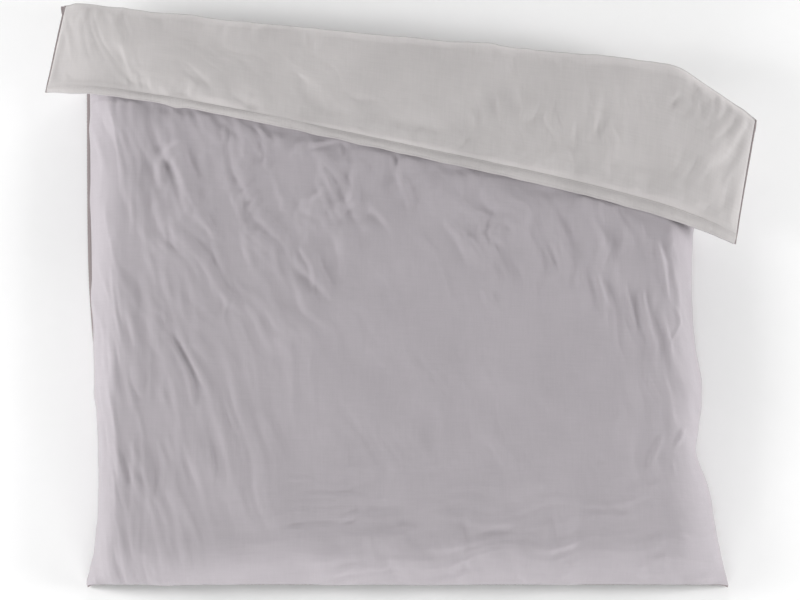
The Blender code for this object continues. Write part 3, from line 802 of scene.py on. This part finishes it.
def build_hem():
    """The two cloths of the hem, and its rows of stitches."""
    us = spread(-HALF_WIDTH + 0.001, HALF_WIDTH - 0.001, 0.0024)
    ws = FILL_END + np.array(HEM_LINES)
    u, w = np.meshgrid(us, ws, indexing="ij")
    base = flap_base(u, w)
    normal = normals_of(base)
    toward = np.gradient(base, axis=1)
    toward /= np.linalg.norm(toward, axis=-1, keepdims=True)
    wander = toward * (hem_edge(u) * ease((w - FILL_END) / HEM_WIDTH))[..., None]
    end = np.clip((w - FLAP_DEPTH + 0.002) / 0.002, 0, 1)
    start = np.clip((FILL_END + 0.0008 - w) / 0.002, 0, 1)
    thin = 1 - 0.75 * np.maximum(end, start)
    height = hem_height(u, w)
    top = base + normal * height[..., None] + wander
    under = base + normal * (height - HEM_CLOTH * thin)[..., None] + wander
    reverse = add_pillow("hem_reverse_band", top, under, REVERSE_CLOTH, (u, w))
    lift = hem_wave(u)
    low = base + normal * lift[..., None] + wander
    high = base + normal * (lift + HEM_CLOTH * thin)[..., None] + wander
    face = add_pillow("hem_face_band", high, low, FACE_CLOTH, (u, w))
    for ob, node, look in ((reverse, "hem_reverse", "reverse_cloth"), (face, "hem_face", "face_cloth")):
        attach(ob, "turned_back_flap")
        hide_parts(node)
    lines = []
    for row in STITCH_ROWS:
        u = np.linspace(-HALF_WIDTH + 0.004, HALF_WIDTH - 0.004, 1600)
        w = np.full_like(u, row)
        base = flap_base(u, w)
        lines.append(base + np.array((0, 0, 1)) * (hem_height(u, w) + 0.0001)[:, None])
    thread = add_stitches("hem_stitches", lines, np.array((0, 0, 1.0)), 0.0034)
    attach(thread, "turned_back_flap")
    return [reverse, face, thread]


def add_stitches(name, lines, up, pitch, length=0.0026, radius=0.00032):
    """Short thread loops along lines, as one mesh. up is a vector, or one for each line's points."""
    rings = np.array((-1.0, -0.6, 0.0, 0.6, 1.0))
    swell = np.sqrt(1 - (0.97 * rings) ** 2)
    turn = np.arange(6) * math.pi / 3
    shape = np.stack([
        np.repeat(rings * length / 2, 6),
        (swell[:, None] * np.cos(turn)).ravel() * radius,
        (swell[:, None] * np.sin(turn)).ravel() * radius,
    ], 1)
    size = len(shape)
    corners = [(i * 6 + k, i * 6 + (k + 1) % 6) for i in range(4) for k in range(6)]
    quads = [(a, b, b + 6, a + 6) for a, b in corners]
    caps = [tuple(range(6))[::-1], tuple(range(24, 30))]
    points, faces = [], []
    for number, line in enumerate(lines):
        steps = np.concatenate([[0], np.cumsum(np.linalg.norm(np.diff(line, axis=0), axis=1))])
        at = np.arange(pitch, steps[-1] - pitch, pitch)
        centre = np.stack([np.interp(at, steps, line[:, k]) for k in range(3)], 1)
        ahead = np.stack([np.interp(at + pitch / 2, steps, line[:, k]) for k in range(3)], 1) - centre
        ahead /= np.linalg.norm(ahead, axis=1, keepdims=True)
        upward = up[number] if isinstance(up, list) else up
        if upward.ndim > 1:
            upward = np.stack([np.interp(at, steps, upward[:, k]) for k in range(3)], 1)
        side = np.cross(np.broadcast_to(upward, ahead.shape), ahead)
        side /= np.linalg.norm(side, axis=1, keepdims=True)
        raised = np.cross(ahead, side)
        frames = np.stack([ahead, side, raised], 1)
        first = sum(len(p) for p in points)
        points.append((centre[:, None] + shape @ frames).reshape(-1, 3))
        for k in range(len(at)):
            start = first + k * size
            faces += [tuple(start + i for i in face) for face in quads + caps]
    points = np.concatenate(points)
    ob = add_mesh(name, points, faces, THREAD, points)
    return ob


# ---- seams along the edges

SEAM_OUT, FOOT_SEAM_OUT = 0.005, 0.0045


def seam_rings(middle, outward, normal, out, half):
    """Rings of a seam's folded edge: wide at its root and thin where it ends."""
    turn = np.linspace(0, 2 * math.pi, 12, endpoint=False)
    reach = (1 + np.cos(turn)) / 2
    a = -0.002 + (out[:, None] + 0.002) * reach
    b = half[:, None] * np.sin(turn) * (1 - 0.6 * reach)
    return middle[:, None] + outward[:, None] * a[..., None] + normal[:, None] * b[..., None]


def unit(vectors):
    return vectors / np.linalg.norm(vectors, axis=-1, keepdims=True)


def build_seam(name, node, body, middle, outward, normal, out, half=0.0026):
    """A seam along middle that stands out by out and is half thick to each side, with its stitches."""
    lengths = np.concatenate([[0], np.cumsum(np.linalg.norm(np.diff(middle, axis=0), axis=1))])
    ruck = 1 + 0.16 * np.sin(2 * math.pi * lengths / 0.011 + 2 * noise(lengths / 0.05, lengths * 0, 401))
    rings = seam_rings(middle, outward, normal, out * (0.9 + 0.1 * ruck), half * ruck)
    # the seam cloth's dark colour is painted shade on a real seam
    seam = add_tube(name, rings, SEAM_CLOTH_PAINTED_SHADE, lengths)
    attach(seam, body)
    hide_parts(node)
    on_top = middle + outward * (out * 0.45)[:, None] + normal * (half * 0.70 + 0.0002)
    stitches = add_stitches(name + "_stitches", [on_top], [normal], 0.0038)
    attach(stitches, body)
    return [seam, stitches]


def build_seams():
    made = []
    for side, sign in (("left", -1), ("right", 1)):
        v = np.linspace(0.0015, MAIN_LENGTH, 420)
        u = np.full_like(v, sign * HALF_WIDTH)
        edge = main_base(u, v)
        outward = unit(edge - main_base(u - sign * 0.004, v))
        normal = unit(np.cross(outward, np.gradient(edge, axis=0)) * sign)
        middle = edge - normal * (main_thick(u, v) / 2)[:, None]
        out = np.full_like(v, SEAM_OUT)
        if side == "left":  # near the flap this seam's edge stands out
            # here the wider dark seam also stands in for painted shade along the duvet's left side
            flare = ease((edge[:, 1] - 0.35) / 0.6)
            out = mix(SEAM_OUT, 0.016, flare)
            level = 0.75 * flare[:, None]
            outward = unit(outward * (1 - level) + np.array((-1.0, 0, 0)) * level)
            normal = unit(np.cross(np.gradient(edge, axis=0), outward))
            normal *= np.sign(normal[:, 2:] + 1e-9)
        node = f"side_seam_main_{side}"
        made += build_seam(node + "_edge", node, "duvet_main", middle, outward, normal, out)

        w = np.linspace(0, FLAP_DEPTH - 0.001, 110)
        u = np.full_like(w, sign * HALF_WIDTH)
        edge = flap_base(u, w)
        outward = unit(edge - flap_base(u - sign * 0.004, w))
        normal = unit(np.cross(np.gradient(edge, axis=0), outward))
        normal *= np.sign(normal[:, 2:])
        height = np.minimum(flap_thick(u, w), EDGE_THICK) / 2 + flap_lift(u, w)
        height = mix(height, 0.0045 + hem_wave(u), ease((w - FILL_END + 0.01) / 0.02))
        middle = edge + normal * height[:, None]
        out = np.full_like(w, SEAM_OUT)
        half = 0.0042 if side == "right" else 0.0034
        node = f"side_seam_flap_{side}"
        made += build_seam(node + "_edge", node, "turned_back_flap", middle, outward, normal, out, half)

    u = np.linspace(-HALF_WIDTH + 0.002, HALF_WIDTH - 0.002, 520)
    v = np.zeros_like(u)
    edge = main_base(u, v)
    outward = unit(edge - main_base(u, v + 0.004))
    normal = unit(np.cross(np.gradient(edge, axis=0), outward))
    normal *= np.sign(normal[:, 2:])
    middle = edge - normal * (main_thick(u, v) / 2)[:, None]
    out = np.full_like(u, FOOT_SEAM_OUT)
    made += build_seam("foot_seam_edge", "foot_seam", "duvet_main", middle, outward, normal, out)
    return made


# ---- the cloth round the fold


FOLD_ROUND = 0.0022  # how far the fold's cloth bows out between the layers' tips


def fold_section(u, low, high, count):
    """The cloth round the fold at each u, from low to high degrees off level."""
    x = fold_reach(u)
    line = np.stack([x, fold_y(x), np.zeros_like(x)], -1)
    line = swollen(line, u, x * 0)
    away = np.array((math.sin(FOLD_TILT), math.cos(FOLD_TILT), 0))
    turn = np.radians(np.linspace(low, high, count))
    out = FOLD_ROUND * np.cos(turn) * np.ones_like(u)[:, None]
    up = (TIP_THICK + 2 * LAYER_GAP) * np.sin(turn) * np.ones_like(out)
    return line[:, None] + away * out[..., None] + np.array((0, 0, 1.0)) * up[..., None]


def build_fold():
    """A strip that bends from body to body, and past it the slumped end, which is split at the fold."""
    made = []
    us = np.linspace(-HALF_WIDTH + 0.0006, SLUMP_START + 0.03, 420)
    u, turn = np.meshgrid(us, np.linspace(0, 0.02, 13), indexing="ij")
    strip = add_sheet("fold_turn_cloth", fold_section(us, -90, 90, 13), REVERSE_CLOTH, (u, turn))
    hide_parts("cover_fold_turn")
    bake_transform(strip)
    made.append(strip)
    us = np.linspace(SLUMP_START + 0.03, HALF_WIDTH - 0.0006, 60)
    u, turn = np.meshgrid(us, np.linspace(0, 0.01, 7), indexing="ij")
    for name, body, low, high in (
        ("fold_end_main_cloth", "duvet_main", -90, 0),
        ("fold_end_flap_cloth", "turned_back_flap", 0, 90),
    ):
        end = add_sheet(name, fold_section(us, low, high, 7), REVERSE_CLOTH, (u, turn))
        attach(end, body)
        made.append(end)
    return made


# ---- the insert


QUILT_DEPTH, QUILT_WIDTH = 0.005, 0.012
INSET = 0.0095  # room between the insert and the cover, for the cover's dips


def quilting(u, v, columns, rows):
    """How far the sewn channels are drawn in."""
    walls = sum(np.exp(-(((u - c) / QUILT_WIDTH) ** 2)) for c in columns)
    walls = walls + sum(np.exp(-(((v - r) / QUILT_WIDTH) ** 2)) for r in rows)
    return QUILT_DEPTH * np.clip(walls, 0, 1)


def build_insert(name, body, point, thick, us, vs, rows, sign, nodes):
    u, v = np.meshgrid(us, vs, indexing="ij")
    base = point(u, v)
    normal = normals_of(base) * sign
    whole = thick(u, v)
    edge = np.minimum(np.minimum(u - us[0], us[-1] - u), np.minimum(v - vs[0], vs[-1] - v))
    rounded = np.sqrt(1 - (1 - np.clip(edge / 0.02, 0, 1)) ** 2 * 0.98)
    half = np.maximum(whole / 2 - INSET, 0.0008) * rounded
    quilt = quilting(u, v, COLUMN_SEAMS, rows) * ease(edge / 0.03)
    half = np.maximum(half - quilt, 0.0006)
    near = base + normal * (whole / 2 - half)[..., None]
    far = base + normal * (whole / 2 + half)[..., None]
    top, bottom = (near, far) if sign < 0 else (far, near)
    ob = add_pillow(name, top, bottom, TICKING, (u, v))
    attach(ob, body)
    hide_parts(*nodes)
    return ob


def box_names(end, rows):
    boxes = [f"fill_box_{end}_{row}_{column}" for row in range(1, rows + 1) for column in range(1, 6)]
    return [f"ticking_face_{end}", f"ticking_reverse_{end}", f"box_walls_{end}", *boxes]


def build_inserts():
    us = np.linspace(-HALF_WIDTH + 0.016, HALF_WIDTH - 0.016, 230)
    vs = np.linspace(0.016, MAIN_LENGTH - 0.008, 190)
    nodes = box_names("main", 4)
    build_insert("insert_main", "duvet_main", main_base, main_thick, us, vs, ROW_SEAMS, -1, nodes)
    ws = np.linspace(0.008, FILL_END - 0.006, 42)
    nodes = box_names("flap", 1)
    build_insert("insert_flap", "turned_back_flap", flap_base, flap_thick, us, ws, (), 1, nodes)


# ---- what fills the gap beside the slumped fold when the flap is opened out


TUCK_GAP = 0.00012  # from the face cloths' middle plane


def build_tucks():
    """Cloth tucked in between the layers, which slides out towards the axis as the flap opens."""
    keep, shown_end = 0.9, 0.004
    slump = SLUMP_SLOPE * (FOLD_RIGHT - SLUMP_START)
    hidden_end = -slump - 0.012
    anchor = (shown_end - keep * hidden_end) / (1 - keep)
    across = np.array((math.cos(FOLD_TILT), -math.sin(FOLD_TILT)))
    ahead = np.array((math.sin(FOLD_TILT), math.cos(FOLD_TILT)))
    axis = np.array((0.0, FOLD_Y))
    for name, body, gap in (
        ("fold_tuck_main", "duvet_main", -TUCK_GAP),
        ("fold_tuck_flap", "turned_back_flap", TUCK_GAP),
    ):
        a, b = np.meshgrid(np.linspace(0.70, 0.995, 50), np.linspace(0, 1, 34), indexing="ij")
        shown_start = -SLUMP_SLOPE * np.clip(a - SLUMP_START, 0, 1) - 0.014
        shown = mix(shown_start, shown_end, b)
        rest = anchor + (shown - anchor) / keep
        plan = axis + a[..., None] * across + rest[..., None] * ahead
        past = np.clip(np.abs(plan[..., 0]) - SAG_START, 0, 1) / (HALF_WIDTH - SAG_START)
        down = np.clip((fold_y(plan[..., 0]) - plan[..., 1]) / FLAP_DEPTH, 0, 1)
        z = gap - SAG_RIGHT * past**2 * ease(down * 0.92)
        points = np.concatenate([plan, z[..., None]], -1)
        tuck = add_sheet(name, points, FACE_CLOTH, (a, b * 0.15))
        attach(tuck, body)
        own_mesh(tuck)


main_face, main_reverse = build_main()
flap_reverse, flap_face = build_flap()
hem = build_hem()
seams = build_seams()
folds = build_fold()
build_inserts()
build_tucks()

for name, ob in frame["nodes"].items():
    if name.startswith("stud"):
        ob.material_slots[0].material = STUD
    if name.startswith("corner_tie"):
        ob.material_slots[0].material = TAPE

# ---- camera, lights and floor

scene = bpy.context.scene
scene.view_settings.view_transform = "Standard"


def aim(ob, target):
    ob.rotation_euler = (Vector(target) - ob.location).to_track_quat("-Z", "Y").to_euler()


CAMERA_ELEVATION, CAMERA_DISTANCE, CAMERA_LENS = math.radians(84), 7.0, 111.8
CAMERA_TARGET = (0.0175, 0.8010, 0)
WORLD_LIGHT = 0.19
FLOOR_HALF = 12


def add_camera():
    target = ORIGIN + np.array(CAMERA_TARGET)
    data = bpy.data.cameras.new("camera")
    data.sensor_width = 36
    data.lens = CAMERA_LENS
    camera = bpy.data.objects.new("camera", data)
    scene.collection.objects.link(camera)
    back = Vector((0, -math.cos(CAMERA_ELEVATION), math.sin(CAMERA_ELEVATION)))
    camera.location = Vector(target) + CAMERA_DISTANCE * back
    aim(camera, target)
    scene.camera = camera


def add_light(name, place, target, size, power):
    data = bpy.data.lights.new(name, "AREA")
    data.shape = "RECTANGLE"
    data.size, data.size_y = size
    data.energy = power
    light = bpy.data.objects.new(name, data)
    scene.collection.objects.link(light)
    light.location = place
    aim(light, target)


def add_floor():
    mesh = bpy.data.meshes.new("floor")
    corners = [(x * FLOOR_HALF, y * FLOOR_HALF, 0) for x, y in ((-1, -1), (1, -1), (1, 1), (-1, 1))]
    mesh.from_pydata(corners, [], [(0, 1, 2, 3)])
    floor = bpy.data.objects.new("floor", mesh)
    scene.collection.objects.link(floor)
    mesh.materials.append(simple_nodes("floor_paint", (0.93, 0.93, 0.93), 0.9, scale=20.0, change=0.01))


add_camera()
add_floor()
add_light("left_light", (-3.9, 0.1, 1.75), (-0.2, 0.0, 0), (1.2, 3.0), 140)
add_light("right_light", (3.9, -0.3, 1.6), (0.3, 0.0, 0), (1.2, 3.0), 128)
add_light("head_light", (0.3, 4.3, 1.3), (0.2, 0.6, 0), (3.8, 0.9), 104)
add_light("foot_light", (-0.3, -4.0, 1.2), (0, -0.3, 0), (3.6, 0.9), 104)
world = bpy.data.worlds.new("studio")
world.use_nodes = True
background = world.node_tree.nodes["Background"]
background.inputs["Color"].default_value = (1, 1, 1, 1)
background.inputs["Strength"].default_value = WORLD_LIGHT
scene.world = world
